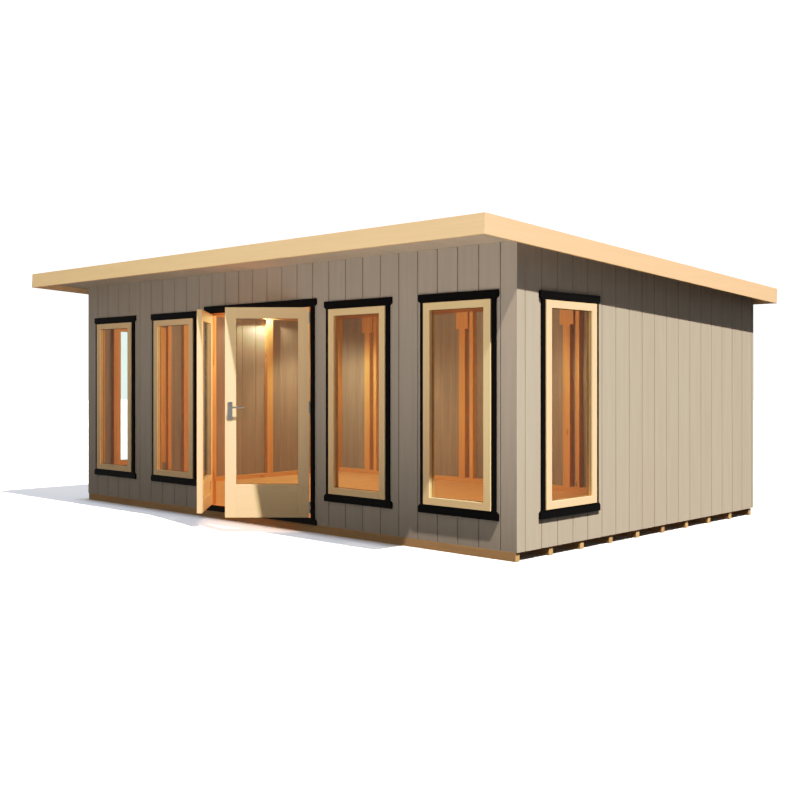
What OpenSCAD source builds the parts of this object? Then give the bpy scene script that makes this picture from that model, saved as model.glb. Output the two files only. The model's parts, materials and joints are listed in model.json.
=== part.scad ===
// Garden office pod: a timber room on bearers under a shallow pent roof.
// Millimetres. +Z up, front wall on -Y, ground at z = 0.
// Origin: centre of the roof outline in plan, on the ground.

/* [Building] */
// Width over the wall boards
body_w = 6000; // [5960:10:7200]
// Depth over the wall boards
body_d = 3834; // [3200:2:4600]
// Height of the soffit at the front wall face
soffit_z = 2365; // [2300:5:2830]
// Fall of the roof towards the back, in degrees
roof_fall = 3.1; // [2:0.1:3.7]
// Thickness of the wall boards
skin_t = 20; // [17:1:24]

/* [Bearers and floor] */
// Number of bearers
bearer_n = 10; // [6:1:12]
// Width of a bearer
bearer_w = 50; // [40:1:60]
// Height of a bearer
bearer_h = 70; // [58:1:84]
// Bearer ends set in from the side walls
bearer_inset = 12; // [4:1:16]
// Last bearer set in from the back wall face
bearer_back_inset = 30; // [20:1:60]
// Thickness of the floor
floor_t = 16; // [13:1:19]

/* [Roof] */
// Front overhang at the bottom of the fascia
front_overhang = 587; // [489:1:704]
// Back overhang at the bottom of the fascia
back_overhang = 154; // [128:1:185]
// Side overhang
side_overhang = 173; // [144:1:208]
// Depth of the roof above the soffit
roof_t = 92; // [77:1:110]
// Drop of the fascia below the soffit
fascia_drop = 57; // [48:1:68]
// Thickness of a fascia board
fascia_t = 22; // [18:1:26]
// Thickness of the soffit and ceiling boards
soffit_t = 18; // [15:1:22]
// Thickness of the roof covering
covering_t = 4; // [3:0.5:6]
// Clearance between the roof panel and what carries it
deck_fit = 0.1; // [0.05:0.05:0.5]

/* [Windows] */
// Width of a window frame
win_w = 680; // [567:1:690]
// Height of a window frame
win_h = 1586; // [1322:1:1600]
// Height of the window frame tops
win_top_z = 1945; // [1930:1:2100]
// Width of a frame stile
win_stile = 67; // [56:1:80]
// Height of a frame rail
win_rail = 58; // [48:1:70]
// Depth of a window frame
win_depth = 60; // [50:1:66]
// Frame face standing out from its trim
win_proud = 9; // [6:1:11]
// Outer windows set in from the wall corners
win_corner = 162; // [150:1:194]
// Gap between the door trim and the next window trim
win_door_gap = 110; // [92:1:132]
// Side windows set back from the front wall face
side_win_y = 670; // [600:1:760]
// Thickness of a glazing unit
glass_t = 20; // [16:1:24]
// Depth of the glazing groove
glass_seat = 12; // [10:1:14]

/* [Trims] */
// Width of the side trims
trim_w = 40; // [33:1:48]
// Height of the head and sill trims
trim_h = 69; // [58:1:82]
// Head and sill trims standing past the side trims
trim_ear = 25; // [20:1:30]
// Bevel height at a trim ear
trim_bevel = 21; // [17:1:25]
// Thickness of the trims
trim_t = 20; // [17:1:24]

/* [Doors] */
// Clear width between the door trims
door_w = 1497; // [1400:1:1560]
// Height of the door leaf bottoms
leaf_z = 131; // [126:1:140]
// Height of a door leaf
leaf_h = 1843; // [1760:1:1870]
// Thickness of a door leaf
leaf_t = 44; // [37:1:52]
// Gap round the leaves
leaf_gap = 6.5; // [6:0.5:8]
// Gap between the two leaves
meeting_gap = 10; // [9:1:12]
// Width of a leaf stile
stile_w = 97; // [81:1:116]
// Height of the top rail of a leaf
top_rail_h = 98; // [82:1:118]
// Height of the solid foot of a leaf
foot_h = 292; // [243:1:350]
// Depth of the panel recess inside the foot
panel_sink = 9; // [7:1:11]
// Border of the panel recess
panel_border = 58; // [48:1:70]
// Angle the leaves stand open
rest_open = 44; // [0:1:90]

/* [Door frame] */
// Thickness of the frame lining
lining_t = 28; // [23:1:34]
// Depth of the frame behind the wall face
lining_d = 72; // [66:1:86]
// Width of the door stop
stop_w = 14; // [12:1:17]
// Clearance between a closed leaf and its stop
stop_gap = 5; // [5:0.5:7]

/* [Hinges] */
// Hinge radius
hinge_r = 6.5; // [6:0.5:7]
// Hinge pin radius
hinge_pin_r = 3; // [2.5:0.1:3.5]
// Clearance round the hinge pin
pin_fit = 0.05; // [0.02:0.01:0.1]
// Height of a hinge
hinge_h = 102; // [85:1:122]
// Hinge axis standing out from the leaf face
hinge_out = 7; // [7:0.5:8]
// Thickness of a hinge plate
plate_t = 2.5; // [2:0.1:3]
// Length of a hinge plate into the joint
plate_l = 30; // [25:1:32]
// Outer hinge centres set in from the leaf ends
hinge_end = 90; // [75:1:108]

/* [Handle] */
// Width of a handle plate
hplate_w = 44; // [38:1:46]
// Height of a handle plate
hplate_h = 159; // [140:1:190]
// Thickness of a handle plate
hplate_t = 8; // [7:1:10]
// Height of a handle plate centre
hplate_z = 1066; // [1000:1:1120]
// Handle centre set in from the free edge
handle_in = 45; // [37:1:50]
// Lever height above the plate centre
lever_up = 31; // [26:1:37]
// Radius of the lever neck
neck_r = 9; // [7.5:0.5:10]
// Clearance round the lever neck
neck_fit = 0.05; // [0.02:0.01:0.1]
// Radius of the lever arm
arm_r = 7; // [6:0.5:8]
// Length of the lever arm
arm_l = 115; // [96:1:138]
// Lever arm standing out from the plate
arm_out = 40; // [33:1:48]
// Lock cylinder below the plate centre
lock_down = 50; // [42:1:58]
// Radius of the lock cylinder
lock_r = 9; // [7.5:0.5:11]
// Lock cylinder standing out from the plate
lock_out = 4; // [3:0.5:5]

/* [Frame timbers] */
// Width of the side wall posts
post_w = 95; // [80:1:114]
// Depth of the side wall posts and the front studs
post_d = 50; // [42:1:60]
// Width of the studs beside the windows and the doorway
stud_w = 45; // [38:1:54]
// Depth of the back wall posts and the corner posts
back_post_d = 70; // [58:1:84]
// Height of the sole plates
plate_h = 50; // [42:1:60]
// First side wall post set back from the front face
side_post_y1 = 1280; // [1150:1:1500]
// Second side wall post set back from the front face
side_post_y2 = 2560; // [2140:1:3040]
// First back wall post from the centre
back_post_x1 = -2360; // [-2600:1:-2000]
// Second back wall post from the centre
back_post_x2 = -710; // [-850:1:-600]
// Third back wall post from the centre
back_post_x3 = 830; // [700:1:1000]
// Fourth back wall post from the centre
back_post_x4 = 2400; // [2000:1:2600]
// Width of the blocks at the back wall post heads
block_w = 187; // [156:1:224]
// Height of the bottom of the head blocks
block_z = 1957; // [1900:1:2020]
// Width of the back wall studs
back_stud_w = 52; // [43:1:62]
// Distance from a back wall post to the stud beside it
back_stud_off = 147; // [125:1:176]

/* [Hidden] */
$fn = 48;
big = 10000;
half_w = body_w / 2;
wall_z = bearer_h;
floor_z = bearer_h + floor_t;
sole_z = floor_z + plate_h;
post_x = half_w - skin_t;
inner_d = body_d - skin_t;
eave_f = hundredths((front_overhang - fascia_drop * sin(roof_fall)) / cos(roof_fall));
eave_b = hundredths((body_d + back_overhang + fascia_drop * sin(roof_fall)) / cos(roof_fall));
roof_end = eave_b * cos(roof_fall) + roof_t * sin(roof_fall);
front_y = hundredths((front_overhang - roof_end) / 2);
roof_half = half_w + side_overhang;
win_z = win_top_z - win_h;
header_z = hundredths(roof_z(inner_d, 0) - plate_h);
win_half = win_w / 2;
ear_half = win_half + trim_w + trim_ear;
door_half = door_w / 2;
door_ear = door_half + trim_w + trim_ear;
win_inner_x = door_ear + win_door_gap + ear_half;
win_outer_x = half_w - win_corner - ear_half;
front_win_x = [-win_outer_x, -win_inner_x, win_inner_x, win_outer_x];
win_back = win_depth - trim_t - win_proud;
frame_half = door_half + lining_t;
door_head_z = leaf_z + leaf_h + leaf_gap;
door_sill_z = leaf_z - leaf_gap;
frame_top_z = door_head_z + lining_t;
leaf_w = (door_w - meeting_gap) / 2 - leaf_gap;
axis_x = door_half - leaf_gap / 2;
axis_y = -trim_t - hinge_out;
leaf_x = leaf_gap / 2;
stop_y = leaf_t - trim_t + stop_gap;
lever_z = hplate_z + lever_up;
lever_x = leaf_x + leaf_w - handle_in;
hinge_zs = [leaf_z + hinge_end, leaf_z + leaf_h / 2 + hplate_w, leaf_z + leaf_h - hinge_end];
knuckle_h = hinge_h / 3;
plate_clear = hinge_r + 1.5;
back_posts = [back_post_x1, back_post_x2, back_post_x3, back_post_x4];
back_studs = [for (x = back_posts) x + back_stud_off];

function hundredths(v) = round(v * 100) / 100;

// Height of a plane h above the soffit, at y behind the front face
function roof_z(y, h) = soffit_z - y * tan(roof_fall) + h / cos(roof_fall);

module at_front() {
    translate([0, front_y, 0]) children();
}

module on_roof() {
    translate([0, front_y, soffit_z]) rotate([-roof_fall, 0, 0]) children();
}

module block(lo, hi) {
    translate(lo) cube(hi - lo);
}

// Solid between x0 and x1 with its outline given in y and z
module across(x0, x1, pts) {
    translate([x0, 0, 0]) rotate([90, 0, 90]) linear_extrude(x1 - x0) polygon(pts);
}

// Upright from z0 to a plane h above the soffit
module upright(x0, x1, y0, y1, z0, h) {
    across(x0, x1, [[y0, z0], [y1, z0], [y1, roof_z(y1, h)], [y0, roof_z(y0, h)]]);
}

// Flat piece facing -Y with its outline given in x and z
module facing(y0, y1) {
    translate([0, y1, 0]) rotate([90, 0, 0]) linear_extrude(y1 - y0) children();
}

module to_right_wall() {
    translate([half_w, front_y + side_win_y, 0]) rotate([0, 0, 90]) children();
}

module to_left_wall() {
    translate([-half_w, front_y + side_win_y, 0]) rotate([0, 0, -90]) children();
}

module window_hole() {
    block([-win_half, -trim_t, win_z], [win_half, skin_t * 2, win_top_z]);
}

module window_glass() {
    gy = (win_back - trim_t - win_proud) / 2;
    block([-win_half + win_stile - glass_seat, gy - glass_t / 2, win_z + win_rail - glass_seat],
          [win_half - win_stile + glass_seat, gy + glass_t / 2, win_top_z - win_rail + glass_seat]);
}

module window_frame() {
    difference() {
        block([-win_half, -trim_t - win_proud, win_z], [win_half, win_back, win_top_z]);
        block([-win_half + win_stile, -big, win_z + win_rail],
              [win_half - win_stile, big, win_top_z - win_rail]);
        window_glass();
    }
}

// Trim outline round a hole: half is half its width, z0 and z1 its heights
module trim_outline(half, z0, z1) {
    ear = half + trim_w + trim_ear;
    side = half + trim_w;
    difference() {
        polygon([
            [-ear, z1 + trim_h], [ear, z1 + trim_h], [ear, z1 + trim_bevel], [side, z1],
            [side, z0], [ear, z0 - trim_bevel], [ear, z0 - trim_h],
            [-ear, z0 - trim_h], [-ear, z0 - trim_bevel], [-side, z0],
            [-side, z1], [-ear, z1 + trim_bevel]
        ]);
        translate([-half, z0]) square([half * 2, z1 - z0]);
    }
}

module window_trim() {
    facing(-trim_t, 0) trim_outline(win_half, win_z, win_top_z);
}

module front_wall_side() {
    difference() {
        upright(frame_half, half_w, 0, skin_t, wall_z, soffit_t);
        translate([win_inner_x, 0, 0]) window_hole();
        translate([win_outer_x, 0, 0]) window_hole();
    }
}

module side_wall_shape() {
    at_front() upright(half_w - skin_t, half_w, skin_t, inner_d, wall_z, soffit_t);
}

module side_posts() {
    x0 = post_x - post_d;
    for (y = [side_post_y1, side_post_y2])
        block([x0, y - post_w / 2, sole_z], [post_x, y + post_w / 2, header_z]);
    for (y = [side_win_y - win_half - stud_w, side_win_y + win_half])
        block([x0, y, sole_z], [post_x, y + stud_w, header_z]);
}

module side_header() {
    y0 = skin_t + back_post_d;
    y1 = inner_d - back_post_d;
    across(post_x - post_d, post_x,
           [[y0, header_z], [y1, header_z], [y1, roof_z(y1, 0)], [y0, roof_z(y0, 0)]]);
}

module corner_pair(y0) {
    for (x = [-post_x, post_x - back_post_d])
        upright(x, x + back_post_d, y0, y0 + back_post_d, floor_z, 0);
}

// Back wall post with a wide block at its head
module t_post(x) {
    y0 = inner_d - back_post_d;
    upright(x - post_w / 2, x + post_w / 2, y0, inner_d, sole_z, 0);
    upright(x - block_w / 2, x + block_w / 2, y0, inner_d, block_z, 0);
}

// Door leaf, closed, hinge axis at the origin, free edge towards -X
module leaf_body() {
    x0 = -leaf_x - leaf_w;
    y0 = hinge_out;
    y1 = hinge_out + leaf_t;
    difference() {
        block([x0, y0, leaf_z], [-leaf_x, y1, leaf_z + leaf_h]);
        block([x0 + stile_w, -big, leaf_z + foot_h],
              [-leaf_x - stile_w, big, leaf_z + leaf_h - top_rail_h]);
        leaf_glass();
        block([x0 + stile_w, y1 - panel_sink, leaf_z + panel_border * 2],
              [-leaf_x - stile_w, big, leaf_z + foot_h - panel_border]);
        for (z = hinge_zs)
            block([-leaf_x - plate_t, y0 - 1, z - hinge_h / 2], [0, plate_l, z + hinge_h / 2]);
    }
}

module leaf_glass() {
    x0 = -leaf_x - leaf_w;
    yc = hinge_out + leaf_t / 2;
    block([x0 + stile_w - glass_seat, yc - glass_t / 2, leaf_z + foot_h - glass_seat],
          [-leaf_x - stile_w + glass_seat, yc + glass_t / 2,
           leaf_z + leaf_h - top_rail_h + glass_seat]);
}

// Leaf half of each hinge: middle knuckle and a plate let into the leaf edge
module leaf_hinges() {
    for (z = hinge_zs)
        difference() {
            union() {
                translate([0, 0, z - knuckle_h / 2 + 0.5]) cylinder(r = hinge_r, h = knuckle_h - 1);
                block([-leaf_x - plate_t, plate_clear, z - hinge_h / 2],
                      [-leaf_x, plate_l, z + hinge_h / 2]);
                block([-leaf_x - plate_t, 0, z - knuckle_h / 2 + 0.5],
                      [-leaf_x, plate_l, z + knuckle_h / 2 - 0.5]);
            }
            translate([0, 0, z - hinge_h]) cylinder(r = hinge_pin_r + pin_fit, h = hinge_h * 2);
        }
}

// Frame half of each hinge: end knuckles, pin and a plate let into the frame
module frame_hinges() {
    for (z = hinge_zs) {
        for (s = [-1, 1])
            translate([0, 0, z + s * knuckle_h]) {
                translate([0, 0, -knuckle_h / 2]) cylinder(r = hinge_r, h = knuckle_h);
                block([leaf_x, 0, -knuckle_h / 2], [leaf_x + plate_t, plate_l, knuckle_h / 2]);
            }
        block([leaf_x, plate_clear, z - hinge_h / 2], [leaf_x + plate_t, plate_l, z + hinge_h / 2]);
        translate([0, 0, z - hinge_h / 2]) cylinder(r = hinge_pin_r, h = hinge_h);
    }
}

// Pockets for the frame halves of the hinges, on both sides of the doorway
module hinge_pockets() {
    for (s = [0, 1])
        mirror([s, 0, 0]) translate([axis_x, axis_y, 0])
            for (z = hinge_zs)
                block([0, hinge_r, z - hinge_h / 2], [leaf_x + plate_t, plate_l, z + hinge_h / 2]);
}

module swing(a) {
    translate([axis_x, front_y + axis_y, 0]) rotate([0, 0, a]) children();
}

module left_side() {
    mirror([1, 0, 0]) children();
}

module neck(r) {
    y0 = hinge_out - hplate_t - arm_out;
    y1 = hinge_out + leaf_t + hplate_t + arm_out;
    translate([-lever_x, y1, lever_z]) rotate([90, 0, 0]) cylinder(r = r, h = y1 - y0);
}

module handle_plate(y0) {
    block([-lever_x - hplate_w / 2, y0, hplate_z - hplate_h / 2],
          [-lever_x + hplate_w / 2, y0 + hplate_t, hplate_z + hplate_h / 2]);
}

module lock_barrel(y0, y1) {
    translate([-lever_x, y1, hplate_z - lock_down]) rotate([90, 0, 0])
        cylinder(r = lock_r, h = y1 - y0);
}

module lever_arm(y) {
    translate([-lever_x, y, lever_z]) {
        rotate([0, 90, 0]) cylinder(r = arm_r, h = arm_l - arm_r);
        translate([arm_l - arm_r, 0, 0]) sphere(r = arm_r);
        sphere(r = neck_r);
    }
}

module bearers() {
    pitch = (body_d - bearer_back_inset - bearer_w) / (bearer_n - 1);
    color([0.80, 0.56, 0.32]) at_front() for (i = [0 : bearer_n - 1])
        block([-half_w + bearer_inset, i * pitch, 0],
              [half_w - bearer_inset, i * pitch + bearer_w, bearer_h]);
}

module floor_deck() {
    color([0.85, 0.62, 0.38]) at_front()
        block([-post_x, skin_t, bearer_h], [post_x, inner_d, floor_z]);
}

module sole_plates() {
    x1 = post_x - back_post_d;
    y0 = skin_t + back_post_d;
    y1 = inner_d - back_post_d;
    color([0.78, 0.52, 0.30]) at_front() {
        block([-x1, y1, floor_z], [x1, inner_d, sole_z]);
        for (s = [0, 1])
            mirror([s, 0, 0]) {
                block([post_x - post_d, y0, floor_z], [post_x, y1, sole_z]);
                block([frame_half, skin_t, floor_z], [x1, skin_t + post_d, sole_z]);
            }
    }
}

module front_wall_left() {
    color([0.62, 0.57, 0.50]) at_front() left_side() front_wall_side();
}

module front_wall_right() {
    color([0.62, 0.57, 0.50]) at_front() front_wall_side();
}

module front_wall_over_door() {
    color([0.62, 0.57, 0.50]) at_front()
        upright(-frame_half, frame_half, 0, skin_t, frame_top_z, soffit_t);
}

module left_wall() {
    color([0.60, 0.55, 0.48]) difference() {
        left_side() side_wall_shape();
        to_left_wall() window_hole();
    }
}

module right_wall() {
    color([0.60, 0.55, 0.48]) difference() {
        side_wall_shape();
        to_right_wall() window_hole();
    }
}

module back_wall() {
    color([0.60, 0.55, 0.48]) at_front() upright(-half_w, half_w, inner_d, body_d, wall_z, soffit_t);
}

module corner_posts() {
    color([0.78, 0.52, 0.30]) at_front() {
        corner_pair(skin_t);
        corner_pair(inner_d - back_post_d);
    }
}

module front_wall_studs() {
    color([0.78, 0.52, 0.30]) at_front() for (s = [0, 1])
        mirror([s, 0, 0]) {
            upright(frame_half, frame_half + stud_w, skin_t, skin_t + post_d, sole_z, 0);
            for (x = [win_inner_x, win_outer_x]) {
                upright(x - win_half - stud_w, x - win_half, skin_t, skin_t + post_d, sole_z, 0);
                upright(x + win_half, x + win_half + stud_w, skin_t, skin_t + post_d, sole_z, 0);
            }
        }
}

module side_wall_posts() {
    color([0.78, 0.52, 0.30]) at_front() for (s = [0, 1])
        mirror([s, 0, 0]) side_posts();
}

module side_wall_headers() {
    color([0.76, 0.50, 0.28]) at_front() for (s = [0, 1])
        mirror([s, 0, 0]) side_header();
}

module back_wall_posts() {
    color([0.78, 0.52, 0.30]) at_front() for (x = back_posts)
        t_post(x);
}

module back_wall_studs() {
    y0 = inner_d - back_post_d;
    color([0.78, 0.52, 0.30]) at_front() for (x = back_studs)
        upright(x - back_stud_w / 2, x + back_stud_w / 2, y0, inner_d, sole_z, 0);
}

module ceiling_boards() {
    color([0.74, 0.50, 0.30]) at_front()
        across(-post_x, post_x,
               [[skin_t, roof_z(skin_t, 0)], [inner_d, roof_z(inner_d, 0)],
                [inner_d, roof_z(inner_d, soffit_t)], [skin_t, roof_z(skin_t, soffit_t)]]);
}

module soffit() {
    color([0.62, 0.58, 0.52]) difference() {
        on_roof() block([-roof_half + fascia_t, -eave_f + fascia_t, 0],
                        [roof_half - fascia_t, eave_b - fascia_t, soffit_t]);
        at_front() block([-half_w, 0, 0], [half_w, body_d, big]);
    }
}

module roof_panel() {
    color([0.72, 0.60, 0.44]) on_roof()
        block([-roof_half + fascia_t, -eave_f + fascia_t, soffit_t + deck_fit],
              [roof_half - fascia_t, eave_b - fascia_t, roof_t - covering_t]);
}

module roof_covering() {
    color([0.20, 0.20, 0.21]) on_roof()
        block([-roof_half + fascia_t, -eave_f + fascia_t, roof_t - covering_t],
              [roof_half - fascia_t, eave_b - fascia_t, roof_t]);
}

module fascia_front() {
    color([0.95, 0.86, 0.68]) on_roof()
        block([-roof_half, -eave_f, -fascia_drop], [roof_half, -eave_f + fascia_t, roof_t]);
}

module fascia_back() {
    color([0.95, 0.86, 0.68]) on_roof()
        block([-roof_half, eave_b - fascia_t, -fascia_drop], [roof_half, eave_b, roof_t]);
}

module side_fascia() {
    on_roof() block([roof_half - fascia_t, -eave_f + fascia_t, -fascia_drop],
                    [roof_half, eave_b - fascia_t, roof_t]);
}

module fascia_left() {
    color([0.95, 0.86, 0.68]) left_side() side_fascia();
}

module fascia_right() {
    color([0.95, 0.86, 0.68]) side_fascia();
}

module front_window_frames() {
    color([0.95, 0.85, 0.65]) at_front() for (x = front_win_x)
        translate([x, 0, 0]) window_frame();
}

module front_window_glass() {
    color([0.75, 0.82, 0.84, 0.35]) at_front() for (x = front_win_x)
        translate([x, 0, 0]) window_glass();
}

module front_window_trims() {
    color([0.08, 0.08, 0.07]) at_front() for (x = front_win_x)
        translate([x, 0, 0]) window_trim();
}

module left_window_frame() {
    color([0.95, 0.85, 0.65]) to_left_wall() window_frame();
}

module left_window_glass() {
    color([0.75, 0.82, 0.84, 0.35]) to_left_wall() window_glass();
}

module left_window_trim() {
    color([0.08, 0.08, 0.07]) to_left_wall() window_trim();
}

module right_window_frame() {
    color([0.95, 0.85, 0.65]) to_right_wall() window_frame();
}

module right_window_glass() {
    color([0.75, 0.82, 0.84, 0.35]) to_right_wall() window_glass();
}

module right_window_trim() {
    color([0.08, 0.08, 0.07]) to_right_wall() window_trim();
}

module door_frame() {
    color([0.90, 0.60, 0.34]) at_front() difference() {
        block([-frame_half, 0, wall_z], [frame_half, lining_d, frame_top_z]);
        block([-frame_half - 1, skin_t, wall_z - 1], [frame_half + 1, big, floor_z]);
        block([-door_half, -1, door_sill_z], [door_half, stop_y, door_head_z]);
        block([-door_half + stop_w, -1, door_sill_z], [door_half - stop_w, big, door_head_z - stop_w]);
        hinge_pockets();
    }
}

module door_trim() {
    color([0.08, 0.08, 0.07]) at_front() difference() {
        facing(-trim_t, 0) difference() {
            trim_outline(door_half, door_sill_z, door_head_z);
            translate([-big, wall_z - big]) square([big * 2, big]);
        }
        hinge_pockets();
    }
}

module hinges_on_frame() {
    color([0.82, 0.82, 0.80]) {
        swing(0) frame_hinges();
        left_side() swing(0) frame_hinges();
    }
}

module left_door_leaf() {
    color([0.96, 0.86, 0.66]) left_side() swing(rest_open) leaf_body();
}

module left_door_glass() {
    color([0.75, 0.82, 0.84, 0.35]) left_side() swing(rest_open) leaf_glass();
}

module left_door_hinges() {
    color([0.82, 0.82, 0.80]) left_side() swing(rest_open) leaf_hinges();
}

module right_door_leaf() {
    color([0.96, 0.86, 0.66]) swing(rest_open) difference() {
        leaf_body();
        neck(neck_r + neck_fit);
    }
}

module right_door_glass() {
    color([0.75, 0.82, 0.84, 0.35]) swing(rest_open) leaf_glass();
}

module right_door_hinges() {
    color([0.82, 0.82, 0.80]) swing(rest_open) leaf_hinges();
}

module handle_plates() {
    y_in = hinge_out + leaf_t;
    color([0.70, 0.71, 0.72]) swing(rest_open) difference() {
        union() {
            handle_plate(hinge_out - hplate_t);
            handle_plate(y_in);
            lock_barrel(hinge_out - hplate_t - lock_out, hinge_out);
            lock_barrel(y_in, y_in + hplate_t + lock_out);
        }
        neck(neck_r + neck_fit);
    }
}

module door_lever() {
    color([0.70, 0.71, 0.72]) swing(rest_open) {
        neck(neck_r);
        lever_arm(hinge_out - hplate_t - arm_out);
        lever_arm(hinge_out + leaf_t + hplate_t + arm_out);
    }
}

bearers();
floor_deck();
sole_plates();
front_wall_left();
front_wall_right();
front_wall_over_door();
left_wall();
right_wall();
back_wall();
corner_posts();
front_wall_studs();
side_wall_posts();
side_wall_headers();
back_wall_posts();
back_wall_studs();
ceiling_boards();
soffit();
roof_panel();
roof_covering();
fascia_front();
fascia_back();
fascia_left();
fascia_right();
front_window_frames();
front_window_glass();
front_window_trims();
left_window_frame();
left_window_glass();
left_window_trim();
right_window_frame();
right_window_glass();
right_window_trim();
door_frame();
door_trim();
hinges_on_frame();
left_door_leaf();
left_door_glass();
left_door_hinges();
right_door_leaf();
right_door_glass();
right_door_hinges();
handle_plates();
door_lever();
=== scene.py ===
import bpy
import bmesh
import json
import math
import random
from mathutils import Matrix, Vector


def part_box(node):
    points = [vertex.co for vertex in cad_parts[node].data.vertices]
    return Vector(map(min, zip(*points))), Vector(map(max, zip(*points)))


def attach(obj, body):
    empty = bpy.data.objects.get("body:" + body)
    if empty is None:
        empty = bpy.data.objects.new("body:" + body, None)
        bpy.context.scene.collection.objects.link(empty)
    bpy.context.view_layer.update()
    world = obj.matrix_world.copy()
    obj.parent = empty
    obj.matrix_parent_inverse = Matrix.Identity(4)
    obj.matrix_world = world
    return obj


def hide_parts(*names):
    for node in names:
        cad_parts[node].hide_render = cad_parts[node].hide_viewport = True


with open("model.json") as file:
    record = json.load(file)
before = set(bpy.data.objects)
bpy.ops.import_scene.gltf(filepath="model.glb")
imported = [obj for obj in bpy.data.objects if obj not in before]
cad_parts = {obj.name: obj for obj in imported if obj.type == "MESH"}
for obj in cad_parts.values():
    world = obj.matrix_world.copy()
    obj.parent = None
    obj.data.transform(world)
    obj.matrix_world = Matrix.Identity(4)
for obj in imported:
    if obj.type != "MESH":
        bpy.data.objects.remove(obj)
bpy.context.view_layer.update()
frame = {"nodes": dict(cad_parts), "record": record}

rnd = random.Random(11)
NODES = frame["nodes"]
JOINTS = {j["name"]: j for j in frame["record"]["behaviour"]["joints"]}

# Sizes that the frame does not hold, in metres.
FRONT_PITCH, FRONT_FIRST = 0.209, 0.154     # cover of a wall board, and the first one's joint
SIDE_PITCH, SIDE_FIRST = 0.205, 0.101
SOFFIT_BOARD, NARROW_BOARD = 0.20, 0.12     # boards under the eaves, and overhead and underfoot
SEAT = 0.012                                # how far a pane stands in its frame
PANE_T = 0.004
SPACER_W = 0.0105
EAR, BEVEL = 0.025, 0.021                   # ends of the trims' head and sill boards
HAIR = 0.0003                               # open joint between two members
CUT_BACK = 0.0004                           # gap at a trim's, a leaf's or a soffit board's edge
MIRRORED = 0.45                             # brightness that shiny surfaces see all round


# ---------------------------------------------------------------- materials

class Shader:
    """A node material, with short calls for the nodes it is made of."""

    def __init__(self, name):
        self.mat = bpy.data.materials.new(name)
        self.mat.use_nodes = True
        self.nt = self.mat.node_tree
        self.nt.nodes.clear()
        self.out = self.nt.nodes.new("ShaderNodeOutputMaterial")
        self.bsdf = self.nt.nodes.new("ShaderNodeBsdfPrincipled")
        self.link(self.bsdf.outputs[0], self.out.inputs["Surface"])

    def link(self, a, b):
        self.nt.links.new(a, b)

    def put(self, socket, value):
        if hasattr(value, "is_output"):
            self.link(value, socket)
        else:
            socket.default_value = value

    def node(self, kind, inputs=None, **attrs):
        n = self.nt.nodes.new(kind)
        for k, v in attrs.items():
            setattr(n, k, v)
        for k, v in (inputs or {}).items():
            self.put(n.inputs[k], v)
        return n

    def set(self, **values):
        names = {"color": "Base Color", "rough": "Roughness", "metal": "Metallic",
                 "coat": "Coat Weight", "normal": "Normal", "spec": "Specular IOR Level"}
        for k, v in values.items():
            self.put(self.bsdf.inputs[names[k]], v)

    def math(self, op, a, b=0.0, clamp=False):
        n = self.node("ShaderNodeMath", {0: a, 1: b}, operation=op)
        n.use_clamp = clamp
        return n.outputs[0]

    def vmath(self, op, a, b):
        return self.node("ShaderNodeVectorMath", {0: a, 1: b}, operation=op).outputs[0]

    def attr(self, name, out="Fac"):
        return self.node("ShaderNodeAttribute", attribute_name=name).outputs[out]

    def noise(self, vec, scale, detail=3.0, rough=0.5, out=0):
        n = self.node("ShaderNodeTexNoise", {"Vector": vec, "Scale": scale,
                                             "Detail": detail, "Roughness": rough})
        return n.outputs[out]

    def ramp(self, fac, stops):
        n = self.node("ShaderNodeValToRGB", {0: fac})
        el = n.color_ramp.elements
        while len(el) < len(stops):
            el.new(0.5)
        for e, (pos, col) in zip(el, stops):
            e.position = pos
            e.color = rgba(col)
        return n.outputs[0]

    def mix(self, fac, a, b, mode="MIX"):
        n = self.node("ShaderNodeMix", data_type="RGBA", blend_type=mode)
        self.put(n.inputs[0], fac)
        self.put(n.inputs[6], a)
        self.put(n.inputs[7], b)
        return n.outputs[2]

    def line(self, value, slope, start):
        """slope * value + start, kept between 0 and 1."""
        return self.math("ADD", self.math("MULTIPLY", value, slope), start, clamp=True)

    def by_ray(self, bounced, mirrored, seen):
        """Different shaders for light that bounces, for shiny surfaces and for the camera."""
        path = self.node("ShaderNodeLightPath")
        other = self.node("ShaderNodeMixShader", {0: path.outputs["Is Glossy Ray"],
                                                  1: bounced.outputs[0], 2: mirrored.outputs[0]})
        both = self.node("ShaderNodeMixShader", {0: path.outputs["Is Camera Ray"],
                                                 1: other.outputs[0], 2: seen.outputs[0]})
        self.link(both.outputs[0], self.out.inputs["Surface"])

    def bump(self, height, strength, distance):
        return self.node("ShaderNodeBump", {"Height": height, "Strength": strength,
                                            "Distance": distance}).outputs[0]


def lin(r, g, b):
    """Linear colour from 0-255 display values."""
    def one(c):
        c /= 255
        return c / 12.92 if c <= 0.04045 else ((c + 0.055) / 1.055) ** 2.4
    return (one(r), one(g), one(b))


def rgba(c):
    return (*c, 1.0)


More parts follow.
